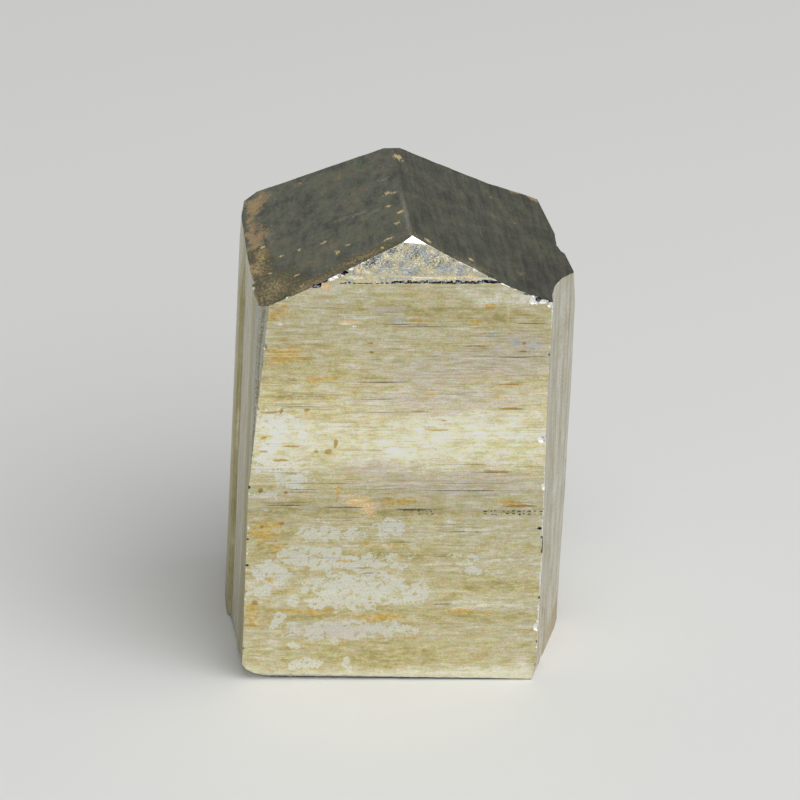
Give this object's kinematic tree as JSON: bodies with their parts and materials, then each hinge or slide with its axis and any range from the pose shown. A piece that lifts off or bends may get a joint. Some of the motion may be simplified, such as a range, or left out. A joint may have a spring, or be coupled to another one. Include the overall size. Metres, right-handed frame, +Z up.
{
  "type": "pyrite specimen",
  "caption": "Single elongated, striated pyrite crystal: a four-sided metallic column with a ridged, roof-shaped end, standing on its flat lower end.",
  "frame": {"origin": "middle of the bounding box at the level of the flat lower end", "axes": "+Z up along the crystal's length, +Y from the front face to the back, +X to the right seen from the front"},
  "size_m": [0.029, 0.0238, 0.0414],
  "materials": {
    "pyrite": null
  },
  "bodies": {
    "root": {"pyrite_crystal": "pyrite"}
  },
  "joints": []
}
